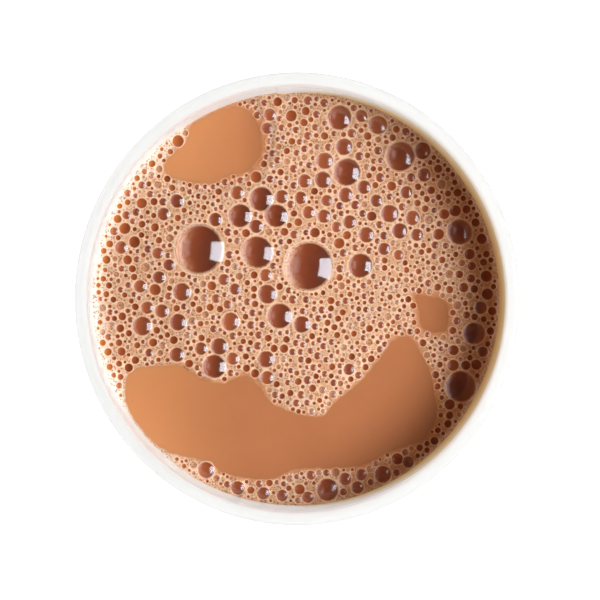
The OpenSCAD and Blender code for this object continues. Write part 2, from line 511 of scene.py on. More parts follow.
def paper_material(cup):
    """White board with a smooth coating: faint fibres, a painted bluer tint on the inside, and above the
    level tea staining mixed with painted shade, deepest on the window's side.
    """
    material, tree, output = start_material("coated_paper")
    shader = principled(tree, output, 0.5, 1.5)
    link(tree, spread(tree, stored(tree, "coated"), 0.0, 1.0, 0.5, 0.22), shader.inputs["Roughness"])
    soften(shader, 1.0, (1.0, 1.0, 1.0), 0.5 * MM)
    cloud = place_group(tree, "mottle", mottle_group, Scale=60.0)
    white = blend_colours(tree, cloud.outputs["Value"], cup.paper, [c * 0.985 for c in cup.paper])
    # Painted light: the coated inside is tinted lighter and bluer than the board, to cancel the pink light
    # that the froth throws on it.
    coat_and_painted_tint = blend_colours(tree, stored(tree, "coated"), white, tinted(cup.paper, 1.08, 1.17, 1.25))
    # A film of tea lets less through the thicker it is, so its colour is raised to the wetness; the same
    # brown also paints the shade on the inner wall that faces away from the window
    film = add_node(tree, "ShaderNodeGamma")
    film.inputs["Color"].default_value = (*cup.stain_and_shade, 1.0)
    link(tree, stored(tree, "wet_and_shade"), film.inputs["Gamma"])
    stained = add_node(tree, "ShaderNodeVectorMath", operation="MULTIPLY")
    link(tree, coat_and_painted_tint, stained.inputs[0])
    link(tree, film.outputs[0], stained.inputs[1])
    link(tree, stained.outputs[0], shader.inputs["Base Color"])
    roughen(tree, shader, cloud_noise(tree, 1800.0, 4.0), 0.12, 0.03 * MM)
    return material


def tea_material(tea):
    """Bare milky tea, smooth and liquid, with faint swirls, with painted light making it paler away from
    the window and at the back, and painted shade making it darker towards the wall on the window's side.
    """
    material, tree, output = start_material("milky_tea")
    shader = principled(tree, output, tea.roughness, 1.34)
    soften(shader, 0.6, (1.0, 0.45, 0.2), 1.6 * MM)
    cloud = place_group(tree, "mottle", mottle_group, Scale=90.0)
    tone = blend_colours(tree, cloud.outputs["Value"], tea.colour, [c * 0.94 for c in tea.colour])
    # Painted light: the tea is paler away from the window and at the back.
    pale = blend_colours(tree, stored(tree, "painted_light"), tone, tinted(tea.colour, 1.25, 1.38, 1.32))
    # Painted shade: darker tea towards the wall on the window's side and at the right end of the back
    # patch.
    link(tree, blend_colours(tree, stored(tree, "painted_far_shade"), pale, tinted(tea.colour, 0.59, 0.52, 0.50)),
         shader.inputs["Base Color"])
    return material


def froth_material(froth):
    """Pale moist froth, darker and redder in the wells of its bubbles, with fine dots between; painted
    glints, painted light by the wall away from the window, and painted shade along the wall on the window's
    side.
    """
    material, tree, output = start_material("pale_froth")
    shader = principled(tree, output, 0.34, 1.34, 0.25)
    soften(shader, 0.5, (1.0, 0.5, 0.28), 0.7 * MM)
    well = stored(tree, "well")
    ring = stored(tree, "ring")
    painted_far_shade = stored(tree, "painted_far_shade")
    fine = place_group(tree, "fine_froth", fine_froth_group, Share=1.0)
    cloud = place_group(tree, "mottle", mottle_group, Scale=160.0)
    pale = blend_colours(tree, cloud.outputs["Value"], froth.pale, tinted(froth.pale, 0.95, 0.86, 0.78))
    dried = blend_colours(tree, stored(tree, "dry_and_painted_light"), pale, froth.dry_and_painted_light)
    washed = blend_colours(tree, stored(tree, "thin"), dried, froth.wash)
    # Painted shade along the wall on the window's side: darker froth, fewer glints, fainter pale lips and
    # darker wells.
    far = blend_colours(tree, painted_far_shade, washed, froth.painted_far_shade)
    open_bed = product(tree, spread(tree, ring, 0.85, 0.45),
                       spread(tree, stored(tree, "thin"), 0.1, 0.7, 1.0, 0.15))
    dark_dots = product(tree, fine.outputs["Dots"], open_bed, 0.75)
    dotted = blend_colours(tree, dark_dots, far, tinted(froth.pale, 0.40, 0.24, 0.19))
    # Painted highlights: the bright dots between the bubbles, fewer in the painted shade.
    glints = product(tree, fine.outputs["Glints"], open_bed,
                     maths(tree, "SUBTRACT", 0.45, product(tree, painted_far_shade, 0.45)))
    lit = blend_colours(tree, glints, dotted, (0.84, 0.70, 0.58))
    ring_fade = maths(tree, "SUBTRACT", 0.7, product(tree, painted_far_shade, 0.6))
    ring_share = product(tree, spread(tree, ring, 0.4, 0.95), ring_fade)
    ringed = blend_colours(tree, ring_share, lit, froth.lip)
    deep = blend_colours(tree, stored(tree, "tone"), froth.well, tinted(froth.well, 1.55, 1.9, 1.9))
    # Painted light: the wells by the lit wall away from the window turn a light amber.
    amber = blend_colours(tree, stored(tree, "dry_and_painted_light"), deep, tinted(froth.well, 2.4, 3.4, 2.6))
    # Painted shade: wells darker along the wall on the window's side.
    sunk = blend_colours(tree, painted_far_shade, amber, tinted(froth.well, 0.68, 0.46, 0.25))
    link(tree, blend_colours(tree, well, ringed, sunk), shader.inputs["Base Color"])
    link(tree, spread(tree, well, 0.0, 1.0, 0.38, 0.2), shader.inputs["Roughness"])
    lift = product(tree, fine.outputs["Height"], open_bed, maths(tree, "SUBTRACT", 1.0, well))
    roughen(tree, shader, lift, 0.2, 0.06 * MM)
    return material


def film_material(name, gain, roughness):
    """The thin skin of a bubble: clear, with a mirror's share that grows towards its edge."""
    material, tree, output = start_material(name)
    clear = add_node(tree, "ShaderNodeBsdfTransparent")
    mirror = add_node(tree, "ShaderNodeBsdfGlossy")
    mirror.inputs["Color"].default_value = (0.90, 0.92, 1.0, 1.0)
    mirror.inputs["Roughness"].default_value = roughness
    edge = add_node(tree, "ShaderNodeFresnel")
    edge.inputs["IOR"].default_value = 1.33
    # The stored shine holds painted shade: the mirror is weaker near the wall on the window's side.
    share = maths(tree, "MULTIPLY", product(tree, edge.outputs[0], gain), stored(tree, "shine"), clamp=True)
    path = add_node(tree, "ShaderNodeLightPath")
    unlit = maths(tree, "ADD", path.outputs["Is Shadow Ray"], path.outputs["Is Diffuse Ray"], clamp=True)
    share = product(tree, share, maths(tree, "SUBTRACT", 1.0, unlit))
    mix = add_node(tree, "ShaderNodeMixShader")
    link(tree, share, mix.inputs[0])
    link(tree, clear.outputs[0], mix.inputs[1])
    link(tree, mirror.outputs[0], mix.inputs[2])
    link(tree, mix.outputs[0], output.inputs["Surface"])
    return material


def floor_material():
    material, tree, output = start_material("pale_floor")
    shader = principled(tree, output, 0.7, 1.4, 0.2)
    shader.inputs["Base Color"].default_value = (0.32, 0.32, 0.32, 1.0)
    path = add_node(tree, "ShaderNodeLightPath")
    seen = blend_colours(tree, path.outputs["Is Camera Ray"], (0.0, 0.0, 0.0), (1.0, 1.0, 1.0))
    link(tree, seen, shader.inputs["Emission Color"])
    shader.inputs["Emission Strength"].default_value = 1.1
    return material


# ---------------------------------------------------------------------------- cup

def cup_profile(cup):
    """The wall in section, from the foot's outer edge over the rim and down to the hem.

    Each entry is (radius, height, side), where side is 1 outside, 0 on the roll, -1 inside and -2 on
    the hem.
    """
    roll_r = cup.roll / 2
    roll_x = RIM_RADIUS - roll_r
    roll_z = RIM_TOP - roll_r
    run = roll_x - cup.foot_radius
    lean = math.atan2(run, roll_z) - math.asin((roll_r - cup.board) / math.hypot(run, roll_z))
    slant = cup.board / math.cos(lean)

    def wall(z, layers):
        return cup.foot_radius + z * math.tan(lean) - layers * slant

    start = math.pi - lean
    turn = math.acos((roll_r - cup.board - 0.15 * MM) / roll_r)
    wall_top = roll_z + (roll_r - cup.board) * math.sin(lean)
    points = []
    wall_steps, curl_steps, roll_steps, hem_steps = 40, 18, 26, 8
    for i in range(wall_steps + 1):
        z = wall_top * i / wall_steps
        points.append((wall(z, 0), z, 1))
    inner = roll_r - cup.board
    for i in range(1, curl_steps + 1):
        angle = start - (TAU - turn) * i / curl_steps
        points.append((roll_x + inner * math.cos(angle), roll_z + inner * math.sin(angle), 0))
    for i in range(roll_steps + 1):
        angle = start + turn + (TAU - turn) * i / roll_steps
        points.append((roll_x + roll_r * math.cos(angle), roll_z + roll_r * math.sin(angle), 0))
    inner_top = roll_z + roll_r * math.sin(lean)
    for i in range(1, wall_steps + 1):
        z = inner_top + (cup.board - inner_top) * i / wall_steps
        points.append((wall(z, 1), z, -1))
    hem = BASE_TOP - cup.board - 0.8 * MM
    for i in range(hem_steps + 1):
        z = cup.board + (hem - cup.board) * i / hem_steps
        points.append((wall(z, 2), z, -2))
    for i in range(hem_steps + 1):
        z = hem - hem * i / hem_steps
        points.append((wall(z, 3), z, -2))
    return points, wall


def seam_step(angle):
    """Extra radius outside and inside the wall near the glued overlap at +Y."""
    outer_step, inner_step = 0.35 * MM, -0.16 * MM
    offset = (angle - math.pi / 2 + math.pi) % TAU - math.pi
    half = math.radians(SEAM_HALF)
    fade = math.radians(SEAM_FADE)
    outer = outer_step * (1.0 - smooth_step(0.0, fade, offset + half)) if -half <= offset else 0.0
    inner = inner_step * (1.0 - smooth_step(0.0, fade, half - offset)) if offset <= half else 0.0
    return outer, inner


def cup_angles(count):
    """Angles round the cup, with close pairs at the two edges of the overlap."""
    angles = [TAU * i / count for i in range(count)]
    half = math.radians(SEAM_HALF)
    tiny = math.radians(0.12)
    for edge in (-half, half):
        angles += [math.pi / 2 + edge - tiny, math.pi / 2 + edge + tiny]
    return sorted(angles)


def cup_mesh(cup):
    """The wall and rim, with the share of tea staining and painted shade on the inside just above the tea,
    and where it is coated.
    """
    profile, wall = cup_profile(cup)
    angles = cup_angles(WALL_ROUNDS)
    verts, faces, wet_and_shade, coated = [], [], [], []
    for angle in angles:
        outer, inner = seam_step(angle)
        c, s = math.cos(angle), math.sin(angle)
        wander = 0.6 * MM * (noise.noise(Vector((c * 1.3, s * 1.3, 4.0))) + 0.2)
        pleat = 0.07 * MM * math.sin(90 * angle)
        offsets = {1: outer, 0: 0.12 * outer, -1: inner, -2: pleat}
        # Painted shade: the brown band reaches higher and grows stronger round towards the window, where
        # the inner wall faces away from it; elsewhere it is thin tea staining.
        near = max(0.0, c) ** 0.6
        tide = (1.4 + 7.4 * near) * MM
        stain_and_shade_share = 0.3 * smooth_step(-0.7, 0.0, c) + 0.7 * near
        for radius, z, side in profile:
            r = radius + offsets[side]
            verts.append(oval_point(r * c, r * s, z, cup.oval))
            reach = 1.0 - min(1.0, max(0.0, z - LEVEL - 0.5 * wander) / tide)
            wet_and_shade.append(1.15 * reach * stain_and_shade_share if side == -1 else 0.0)
            coated.append(1.0 if side == -1 else 0.0)
    count = len(profile)
    rounds = len(angles)
    for i in range(rounds):
        this, following = i * count, ((i + 1) % rounds) * count
        for k in range(count):
            n = (k + 1) % count
            faces.append((this + k, following + k, following + n, this + n))
    return verts, faces, wet_and_shade, coated, wall


class TEA_OT_cup(bpy.types.Operator):
    """Build the paper cup: wall, rolled rim, glued seam and folded foot"""
    bl_idname = "tea.build_cup"
    bl_label = "Paper cup"

    def execute(self, context):
        cup = context.scene.tea_cup
        verts, faces, wet_and_shade, coated, wall = cup_mesh(cup)
        piece = new_piece("paper_cup", verts, faces, ("cup_wall",))
        add_values(piece.data, "wet_and_shade", wet_and_shade)
        add_values(piece.data, "coated", coated)
        material = paper_material(cup)
        piece.data.materials.append(material)
        build_bottom(cup, wall, material)
        return {"FINISHED"}


def build_bottom(cup, wall, material):
    """The bottom disc with its skirt, a little crowned, between the wall and the hem."""
    under = BASE_TOP - cup.board
    steps, height = 12, 0.5 * MM
    ring = [(wall(under, 2) * i / steps, under) for i in range(1, steps + 1)]
    ring += [(wall(cup.board, 2), cup.board), (wall(cup.board, 1), cup.board)]
    ring += [(wall(BASE_TOP, 1) * i / steps, BASE_TOP) for i in range(steps, 0, -1)]
    rounds = BASE_ROUNDS
    verts, faces = [Vector((0, 0, under + height)), Vector((0, 0, BASE_TOP + height))], []
    for i in range(rounds):
        angle = TAU * i / rounds
        for radius, z in ring:
            crown = height * (1.0 - (radius / wall(under, 2)) ** 2) if z >= under else 0.0
            verts.append(oval_point(radius * math.cos(angle), radius * math.sin(angle),
                                    z + max(0.0, crown), cup.oval))
    size = len(ring)
    for i in range(rounds):
        a = 2 + i * size
        b = 2 + ((i + 1) % rounds) * size
        faces.append((0, b, a))
        for k in range(size - 1):
            faces.append((a + k, b + k, b + k + 1, a + k + 1))
        faces.append((1, a + size - 1, b + size - 1))
    piece = new_piece("cup_bottom", verts, faces, ("cup_base",))
    for name in ("wet_and_shade", "coated"):
        add_values(piece.data, name, [0.0] * len(piece.data.vertices))
    piece.data.materials.append(material)


# ---------------------------------------------------------------------------- froth

def laid(x, y):
    """A place in the tables, which leave out the mouth's squeeze, put on the tea's surface."""
    return x * 1.0126 + 0.18, y * 1.0026 - 0.165


class FrothPlan:
    """Where the froth, its bubbles and the bare tea lie, worked out once in millimetres."""

    def __init__(self, seed):
        self.radius = TEA_RADIUS / MM
        self.rng = random.Random(seed)
        self.bare = [self.ragged(outline) for outline in (BARE_TOP, BARE_RIGHT, BARE_BOTTOM)]
        edge = [p for outline in self.bare for p in outline]
        self.edge_tree = KDTree(len(edge))
        for i, p in enumerate(edge):
            self.edge_tree.insert((p[0], p[1], 0.0), i)
        self.edge_tree.balance()
        self.bubbles = []
        self.grid = {}
        for x, y, size in LARGE_BUBBLES:
            x, y = laid(x, y)
            pull = min(1.0, (self.radius - size - 0.1) / math.hypot(x, y))
            size = min(size, self.edge_gap(x * pull, y * pull) - 0.15)
            if size > 0.4:
                self.keep(x * pull, y * pull, size)
        self.fill()

    def ragged(self, outline):
        points = []
        for p in smooth_outline([laid(x, y) for x, y in outline], 0.4):
            shift = [0.28 * noise.noise(Vector((p[0] * 0.9, p[1] * 0.9, depth))) for depth in (2.0, 8.0)]
            points.append((p[0] + shift[0], p[1] + shift[1]))
        return points if turning(points) > 0 else points[::-1]

    def edge_gap(self, x, y):
        """Distance to the nearest bare place, negative inside one."""
        gap = self.edge_tree.find((x, y, 0.0))[2]
        return -gap if any(inside(outline, x, y) for outline in self.bare) else gap

    def room(self, x, y):
        """Distance from a point to the nearest bubble's edge or to the wall."""
        nearest = self.radius - math.hypot(x, y)
        cx, cy = int(x // 2), int(y // 2)
        for i in range(cx - 3, cx + 4):
            for j in range(cy - 3, cy + 4):
                for bx, by, size in self.grid.get((i, j), ()):
                    nearest = min(nearest, math.hypot(x - bx, y - by) - size)
        return nearest

    def keep(self, x, y, size):
        self.bubbles.append((x, y, size))
        self.grid.setdefault((int(x // 2), int(y // 2)), []).append((x, y, size))

    def shines(self, x, y, size):
        """Whether a bubble has a film that catches the window; the small ones by chance."""
        chance = 0.6 - 0.5 * smooth_step(14.0, 30.0, x) - 0.25 * smooth_step(10.0, 26.0, -x)
        return size >= 1.2 or self.rng.random() < chance

    def fill(self):
        """Grow ever smaller bubbles in the gaps until they nearly touch, coarser or finer by place."""
        rng = self.rng
        finest = FILLING[-1][0]
        for low, high, tries in FILLING:
            for _ in range(tries):
                angle = rng.uniform(0, TAU)
                reach = self.radius * math.sqrt(rng.random())
                x, y = reach * math.cos(angle), reach * math.sin(angle)
                wanted = rng.uniform(low, high)
                if low > finest:
                    coarsest = finest + 1.05 * nearby(GRAIN_SPOTS, x, y) * rng.uniform(0.8, 1.1)
                    if wanted > coarsest:
                        continue
                size = min(wanted, self.room(x, y) - 0.08 - 0.10 * rng.random())
                if size >= low and self.edge_gap(x, y) > size + 0.08:
                    self.keep(x, y, size)


def nearby(spots, x, y):
    """The value that the nearest spots give a point."""
    total = 0.0
    weight_sum = 0.0
    for sx, sy, value in spots:
        weight = 1.0 / (0.5 + (x - sx) ** 2 + (y - sy) ** 2) ** 1.6
        total += weight * value
        weight_sum += weight
    return total / weight_sum


PLAN = {}


def froth_plan(froth):
    if froth.seed not in PLAN:
        PLAN[froth.seed] = FrothPlan(froth.seed)
    return PLAN[froth.seed]


def bed_height(plan, x, y, thickness):
    """Height of the froth above the tea's level, in millimetres."""
    gap = plan.edge_gap(x, y)
    swell = smooth_step(0.0, 3.8, gap)
    waves = 0.10 * noise.noise(Vector((x * 0.22, y * 0.22, 1.0)))
    waves += 0.05 * noise.noise(Vector((x * 1.1, y * 1.1, 5.0)))
    climb = 0.5 * math.exp(-max(0.0, plan.radius - math.hypot(x, y)) / 0.6)
    return 0.015 + (thickness - 0.015 + waves + climb) * swell


def ring_points(size):
    return 11 if size < 0.5 else min(44, round(9 + 8.5 * size))


def froth_tones(plan, x, y):
    """How much dried froth and painted light the froth takes by the wall away from the window, how thin it
    is, and how much painted shade it takes along the wall on the window's side, each from 0 to 1 at a
    point.
    """
    reach = math.hypot(x, y)
    side = x / max(reach, 1.0)
    wander = 0.8 * noise.noise(Vector((x * 0.5, y * 0.5, 7.0)))
    # Dried froth and painted light along the wall away from the window.
    dry_and_painted_light = (1.0 - smooth_step(0.3, 3.4 + wander, plan.radius - reach)) * smooth_step(0.35, 0.85, -side)
    thin = 1.0 - smooth_step(-0.1, nearby(EDGE_SPOTS, x, y), plan.edge_gap(x, y))
    # Painted shade along the wall on the window's side.
    painted_far_shade = far_side(plan, x, y) * (0.55 + 0.45 * smooth_step(0.0, 1.1, plan.radius - reach))
    return dry_and_painted_light, thin, painted_far_shade


def far_side(plan, x, y, width=12.8):
    """Share of the painted shade towards the wall on the window's side, which shades the tea there, over a
    width in millimetres.
    """
    reach = math.hypot(x, y)
    side = (x * math.cos(math.radians(-13)) + y * math.sin(math.radians(-13))) / max(reach, 1.0)
    return 0.93 * smooth_step(width, 0.5, plan.radius - reach) * smooth_step(0.0, 0.75, side)


def build_bed(plan, froth):
    """The froth as one height field, with a bowl sunk into it for every bubble."""
    thickness = froth.thickness / MM
    flat, rings, loops = [], [], []
    for x, y, size in plan.bubbles:
        count = ring_points(size)
        phase = plan.rng.uniform(0, TAU)
        start = len(flat)
        wobble = 0.02 * size
        for i in range(count):
            angle = phase + TAU * i / count
            r = size + wobble * math.sin(2 * angle + phase)
            flat.append(Vector((x + r * math.cos(angle), y + r * math.sin(angle))))
        rings.append(list(range(start, start + count)))
    for outline in plan.bare:
        start = len(flat)
        flat += [Vector(p) for p in outline]
        loops.append(list(range(start, start + len(outline))))
    start = len(flat)
    for i in range(FROTH_ROUNDS):
        angle = TAU * i / FROTH_ROUNDS
        flat.append(Vector((plan.radius * math.cos(angle), plan.radius * math.sin(angle))))
    rim_loop = list(range(start, start + FROTH_ROUNDS))
    spacing = 0.46
    rows = int(plan.radius / (0.87 * spacing))
    for i in range(-rows, rows + 1):
        for j in range(-rows, rows + 1):
            x = (i + 0.5 * (j % 2) + plan.rng.uniform(-0.2, 0.2)) * spacing
            y = (j + plan.rng.uniform(-0.2, 0.2)) * spacing * 0.87
            if plan.room(x, y) < 0.12:
                continue
            if plan.edge_gap(x, y) > 0.12:
                flat.append(Vector((x, y)))
    found = delaunay_2d_cdt(flat, [], rings + loops, 0, MERGE, True)
    points, triangles, sources, owners = found[0], found[2], found[3], found[5]
    renamed = {}
    for new, old_list in enumerate(sources):
        for old in old_list:
            renamed[old] = new
    verts = [Vector((p[0], p[1], bed_height(plan, p[0], p[1], thickness))) for p in points]
    well = [0.0] * len(verts)
    tone = [0.0] * len(verts)
    faces = [tuple(t) for t, owner in zip(triangles, owners) if not owner]
    for (x, y, size), ring in zip(plan.bubbles, rings):
        add_bowl(plan, verts, faces, well, tone, Vector((x, y)), size, [renamed[i] for i in ring],
                 thickness)
    border = [[renamed[i] for i in loop] for loop in loops]
    ring_verts = [renamed[i] for ring in rings for i in ring]
    return verts, faces, well, tone, [renamed[i] for i in rim_loop], border, ring_verts


def ring_level(plan, x, y, size, thickness):
    """Height of the bed round a bubble, in millimetres."""
    steps = 8
    return sum(bed_height(plan, x + size * math.cos(TAU * k / steps), y + size * math.sin(TAU * k / steps),
                          thickness) for k in range(steps)) / steps


def add_bowl(plan, verts, faces, well, tone, centre, size, ring, thickness):
    """Sink a round bowl inside a ring of the bed: a pale lip, then the dark curved well, with a painted
    reflection as a paler crescent on the side of the large ones away from the window.
    """
    shade = plan.rng.random() * (0.25 if size > 1.8 else 1.0)
    shade += 0.4 * smooth_step(18.0, 32.0, abs(centre.y))
    faint = plan.rng.uniform(0.3, 0.7) if size < 0.95 and plan.rng.random() < 0.18 else 1.0
    level = ring_level(plan, centre.x, centre.y, size, thickness)
    for i in ring:
        verts[i].z = level
    lip = 0.91
    ball = 1.3 if size > 1.8 else 2.0

    def sag(share):
        return ball - math.sqrt(ball * ball - share * share)

    if size > 1.2:
        steps = ((0.96, 0.0), (lip, 0.4), (lip - 0.04, 1.0), (0.76, 1.0), (0.66, 1.0), (0.42, 1.0),
                 (0.2, 1.0))
    elif size > 0.5:
        steps = ((0.93, 0.3), (0.84, 1.0), (0.45, 1.0))
    else:
        steps = ((0.88, 0.6), (0.6, 1.0))
    depth = size * sag(lip)
    outer = ring
    for share, dark in steps:
        inner = []
        drop = size * (sag(lip) - sag(share)) if share < lip else 0.0
        for i in ring:
            spot = verts[i]
            inner.append(len(verts))
            verts.append(Vector((centre.x + (spot.x - centre.x) * share,
                                 centre.y + (spot.y - centre.y) * share, level - drop)))
            # Painted reflection: large wells are paler in a crescent on the side away from the window,
            # standing for the screen across from the window seen in the film.
            away = (centre.x - spot.x) / size
            pale = smooth_step(0.5, 0.9, share) * smooth_step(0.1, 0.85, away) * smooth_step(1.9, 4.2, size)
            well.append(dark * faint * (1.0 - 0.62 * pale))
            tone.append(shade)
        band(faces, outer, inner)
        outer = inner
    tip = len(verts)
    verts.append(Vector((centre.x, centre.y, level - depth)))
    well.append(faint)
    tone.append(shade)
    fan(faces, outer, tip)


def close_body(verts, rim_loop, borders, bottom, extra):
    """Skirts down from the edges and a flat underside; returns the faces added."""
    faces = []
    lower = {}
    for loop in [rim_loop] + borders:
        for i in loop:
            lower[i] = len(verts)
            verts.append(Vector((verts[i].x, verts[i].y, bottom)))
            for values in extra:
                values.append(0.0)
    for loop in [rim_loop] + borders:
        outward = loop is rim_loop
        for k, a in enumerate(loop):
            b = loop[(k + 1) % len(loop)]
            faces.append((a, lower[a], lower[b], b) if outward else (a, b, lower[b], lower[a]))
    faces += [tuple(lower[i] for i in reversed(triangle)) for triangle in sheet(verts, rim_loop, borders)]
    return faces


def planar_map(mesh, top_faces, span):
    """A map from above for the top, and a small corner of it for the hidden faces."""
    layer = mesh.uv_layers.new(name="OFBake")
    for face in mesh.polygons:
        for loop in face.loop_indices:
            spot = mesh.vertices[mesh.loops[loop].vertex_index].co
            u = 0.5 + spot.x / span * 0.49
            v = 0.5 + spot.y / span * 0.49
            if face.index >= top_faces:
                u, v = 0.965 + 0.03 * (u - 0.5), 0.965 + 0.03 * (v - 0.5)
            layer.data[loop].uv = (u, v)


class TEA_OT_froth(bpy.types.Operator):
    """Build the froth: a pale bed with a bowl sunk into it for every bubble"""
    bl_idname = "tea.build_froth"
    bl_label = "Froth"

    def execute(self, context):
        froth = context.scene.tea_froth
        oval = context.scene.tea_cup.oval
        plan = froth_plan(froth)
        verts, faces, well, tone, rim_loop, borders, ring_verts = build_bed(plan, froth)
        top_faces = len(faces)
        faces += close_body(verts, rim_loop, borders, -froth.depth / MM, (well, tone))
        lean = (TEA_RADIUS - BASE_HIGH[0]) / (LEVEL - BASE_TOP)
        for i in rim_loop:
            stretch = 1.0 + (lean * verts[i].z + 0.06) / plan.radius
            verts[i] = Vector((verts[i].x * stretch, verts[i].y * stretch, verts[i].z))
        places = [oval_point(v.x * MM, v.y * MM, LEVEL + v.z * MM, oval) for v in verts]
        piece = new_piece("froth_bed", places, faces, ("froth",))
        ring = [0.0] * len(verts)
        for i in ring_verts:
            ring[i] = 1.0
        tones = [froth_tones(plan, v.x, v.y) for v in verts]
        for name, values in (("well", well), ("tone", tone), ("ring", ring), ("dry_and_painted_light", [t[0] for t in tones]),
                             ("thin", [t[1] for t in tones]), ("painted_far_shade", [t[2] for t in tones])):
            add_values(piece.data, name, values)
        planar_map(piece.data, top_faces, TEA_RADIUS * (1 + oval))
        piece.data.materials.append(froth_material(froth))
        return {"FINISHED"}


class TEA_OT_films(bpy.types.Operator):
    """Build the thin domes over the bubbles"""
    bl_idname = "tea.build_films"
    bl_label = "Bubble films"

    def execute(self, context):
        froth = context.scene.tea_froth
        oval = context.scene.tea_cup.oval
        plan = froth_plan(froth)
        high = math.inf
        for name, least, gain, roughness in FILM_KINDS:
            low = max(least, froth.smallest_film / MM)
            verts, faces = [], []
            for x, y, size in plan.bubbles:
                if low <= size < high and plan.shines(x, y, size):
                    add_dome(plan, verts, faces, x, y, size, froth.thickness / MM)
            places = [oval_point(v.x * MM, v.y * MM, LEVEL + v.z * MM, oval) for v in verts]
            piece = new_piece(name, places, faces)
            # Painted shade: the films' mirror share is cut towards the wall on the window's side.
            add_values(piece.data, "shine", [1.0 - 0.75 * far_side(plan, v.x, v.y) for v in verts])
            piece.data.materials.append(film_material(name, gain, roughness))
            high = low
        return {"FINISHED"}


def add_dome(plan, verts, faces, x, y, size, thickness):
    """A shallow cap of a sphere that stands on the bed."""
    count = max(12, min(64, round(10 + 13 * size)))
    rings = 10 if size > 1.2 else 5
    rise = 0.37 * size
    ball = (size * size + rise * rise) / (2 * rise)
    base = ring_level(plan, x, y, size, thickness) + 0.01
    full = math.asin(size / ball)
    below = None
    for i in range(rings):
        slope = full * (1.0 - i / rings)
        r = ball * math.sin(slope)
        z = base + ball * math.cos(slope) - (ball - rise)
        loop = [len(verts) + k for k in range(count)]
        for k in range(count):
            angle = TAU * k / count
            verts.append(Vector((x + r * math.cos(angle), y + r * math.sin(angle), z)))
        if below:
            band(faces, below, loop)
        below = loop
    verts.append(Vector((x, y, base + rise)))
    fan(faces, below, len(verts) - 1)


# ---------------------------------------------------------------------------- tea

class TEA_OT_tea(bpy.types.Operator):
    """Build the tea: its bare surface where the froth has drawn back, and its body below"""
    bl_idname = "tea.build_tea"
    bl_label = "Tea"

    def execute(self, context):
        tea = context.scene.tea_drink
        froth = context.scene.tea_froth
        oval = context.scene.tea_cup.oval
        plan = froth_plan(froth)
        verts, faces, top_faces = tea_mesh(plan, froth, context.scene.tea_cup)
        places = [oval_point(v.x * MM, v.y * MM, v.z * MM, oval) for v in verts]
        piece = new_piece("milky_tea", places, faces, ("chai",))
        planar_map(piece.data, top_faces, TEA_RADIUS * (1 + oval))
        add_values(piece.data, "painted_light", [painted_light_share(v.x, v.y) for v in verts])
        add_values(piece.data, "painted_far_shade", [tea_shade(plan, v.x, v.y) for v in verts])
        piece.data.materials.append(tea_material(tea))
        return {"FINISHED"}


def painted_light_share(x, y):
    """Share of the painted light that makes the tea paler away from the window and at the back."""
    return min(1.0, smooth_step(8.0, 29.0, -x) + 0.45 * smooth_step(16.0, 24.0, y))


def tea_shade(plan, x, y):
    """Share of the painted shade near the window's wall and at the right end of the back patch."""
    end = smooth_step(-11.5, -6.5, x) * smooth_step(16.0, 20.0, y)
    return far_side(plan, x, y, 15.0) + 0.35 * end


def grown(outline, amount):
    """An outline moved outwards by an amount."""
    count = len(outline)
    side = 1.0 if turning(outline) > 0 else -1.0
    moved = []
    for i in range(count):
        x, y = outline[i - 1]
        along = (Vector(outline[(i + 1) % count]) - Vector(outline[i - 2])).normalized()
        moved.append((x + side * along.y * amount, y - side * along.x * amount))
    return moved


def tea_mesh(plan, froth, cup):
    """Islands of bare surface stand up through the froth from the body of the tea."""
    level = LEVEL / MM
    shelf = level - froth.depth / MM - 0.05
    flat, islands = [], []
    for outline in plan.bare:
        ring = grown(outline, 0.18)
        start = len(flat)
        flat += [Vector(p) for p in ring]
        islands.append(list(range(start, start + len(ring))))
    spacing = 0.7
    rows = int(plan.radius / spacing)
    for i in range(-rows, rows + 1):
        for j in range(-rows, rows + 1):
            x, y = (i + 0.5 * (j % 2)) * spacing, j * spacing * 0.87
            if math.hypot(x, y) < plan.radius - 0.3 and plan.edge_gap(x, y) < -0.1:
                flat.append(Vector((x, y)))
    found = delaunay_2d_cdt(flat, [], islands, 0, MERGE, True)
    renamed = {old: new for new, olds in enumerate(found[3]) for old in olds}
    verts = []
    for p in found[0]:
        gap = -plan.edge_gap(p[0], p[1])
        ripple = 0.012 * noise.noise(Vector((p[0] * 0.12, p[1] * 0.12, 9.0)))
        verts.append(Vector((p[0], p[1], level + ripple * smooth_step(0.0, 2.0, gap))))
    faces = [tuple(t) for t, owner in zip(found[2], found[5]) if owner]
    top_faces = len(faces)
    feet = []
    for island in islands:
        loop = [renamed[i] for i in island]
        foot = []
        for i in loop:
            foot.append(len(verts))
            verts.append(Vector((verts[i].x, verts[i].y, shelf)))
        turn = turning([verts[i] for i in loop])
        for k in range(len(loop)):
            n = (k + 1) % len(loop)
            wall = (loop[k], foot[k], foot[n], loop[n])
            faces.append(wall if turn > 0 else tuple(reversed(wall)))
        feet.append(foot)
    rim, count = [], TEA_ROUNDS
    slope = (TEA_RADIUS - (cup.foot_radius - cup.board)) / LEVEL
    bottom = BASE_TOP / MM + 0.02
    for z in (shelf, bottom):
        r = ((cup.foot_radius - cup.board) + slope * z * MM) / MM - 0.02
        rim.append([len(verts) + k for k in range(count)])
        verts += [Vector((r * math.cos(TAU * k / count), r * math.sin(TAU * k / count), z))
                  for k in range(count)]
    for k in range(count):
        n = (k + 1) % count
        faces.append((rim[0][k], rim[1][k], rim[1][n], rim[0][n]))
    faces += sheet(verts, rim[0], feet)
    faces.append(tuple(reversed(rim[1])))
    return verts, faces, top_faces


# ---------------------------------------------------------------------------- stage

